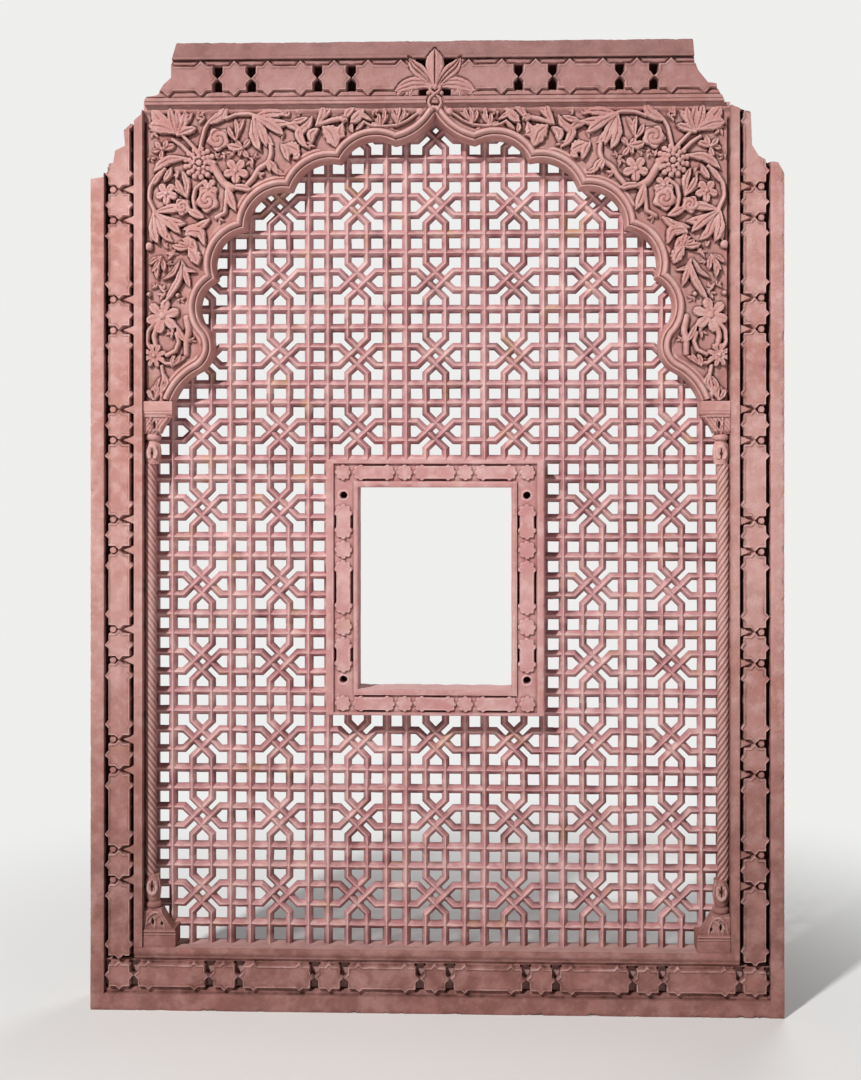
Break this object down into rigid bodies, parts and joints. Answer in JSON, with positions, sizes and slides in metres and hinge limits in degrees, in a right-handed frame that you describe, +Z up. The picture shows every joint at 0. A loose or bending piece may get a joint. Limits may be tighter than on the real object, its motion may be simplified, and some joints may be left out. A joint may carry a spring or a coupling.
{
  "type": "carved jali screen",
  "caption": "Tall pierced stone screen with a stepped tablet border, slender columns, a cusped arch, a knotted lattice and a small framed look-out window.",
  "frame": {"origin": "centre of the surface that the base rail stands on, under the middle of the screen's thickness", "axes": "+Z up the screen, +X across it to the viewer's right, and the carved face looks along -Y"},
  "size_m": [1.3898, 0.11, 1.9495],
  "materials": {
    "sandstone": "hand-dressed and weathered",
    "iron": "forged, dark"
  },
  "bodies": {
    "root": {"base_rail": "sandstone", "column_pins": "iron", "finial": "sandstone", "head_rail": "sandstone", "lattice_bottom": "sandstone", "lattice_left": "sandstone", "lattice_right": "sandstone", "lattice_top": "sandstone", "left_arch_moulding": "sandstone", "left_capital": "sandstone", "left_column_base": "sandstone", "left_column_shaft": "sandstone", "left_spandrel": "sandstone", "left_stile": "sandstone", "right_arch_moulding": "sandstone", "right_capital": "sandstone", "right_column_base": "sandstone", "right_column_shaft": "sandstone", "right_spandrel": "sandstone", "right_stile": "sandstone", "stone_dowels": "iron", "window_head": "sandstone", "window_left_jamb": "sandstone", "window_right_jamb": "sandstone", "window_sill": "sandstone"}
  },
  "joints": []
}
